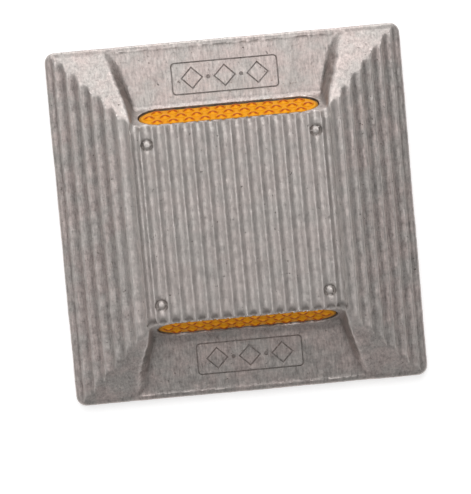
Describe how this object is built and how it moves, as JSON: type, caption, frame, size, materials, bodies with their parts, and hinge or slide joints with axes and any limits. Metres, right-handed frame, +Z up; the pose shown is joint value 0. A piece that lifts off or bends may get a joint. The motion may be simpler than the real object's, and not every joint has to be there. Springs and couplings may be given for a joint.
{
  "type": "raised pavement marker",
  "caption": "Square ribbed cast-aluminium road stud with sloped sides and an amber glass-bead reflector set in a trough at each end.",
  "frame": {"origin": "centre of the flat base, where it rests on the road", "axes": "+Z up from the road; Y along the lane, so the two lenses face -Y (front) and +Y (rear); X across the lane; the ribs run along Y"},
  "size_m": [0.1, 0.1, 0.02],
  "materials": {
    "cast_body": "as-cast, lightly oxidised and scuffed",
    "amber_strip": "gloss moulded amber plastic",
    "amber_glass": "polished glass beads",
    "silver_foil": "metallised film",
    "cover_plastic": "fine moulded texture",
    "bond_epoxy": "cured adhesive"
  },
  "bodies": {
    "root": {"body_casting": "cast_body", "front_lens_strip": "amber_strip", "front_beads_upper": "amber_glass", "front_beads_middle": "amber_glass", "front_beads_lower": "amber_glass", "front_mirror_foil": "silver_foil", "front_back_cover": "cover_plastic", "front_bond_bed": "bond_epoxy", "rear_lens_strip": "amber_strip", "rear_beads_upper": "amber_glass", "rear_beads_middle": "amber_glass", "rear_beads_lower": "amber_glass", "rear_mirror_foil": "silver_foil", "rear_back_cover": "cover_plastic", "rear_bond_bed": "bond_epoxy"}
  },
  "joints": []
}
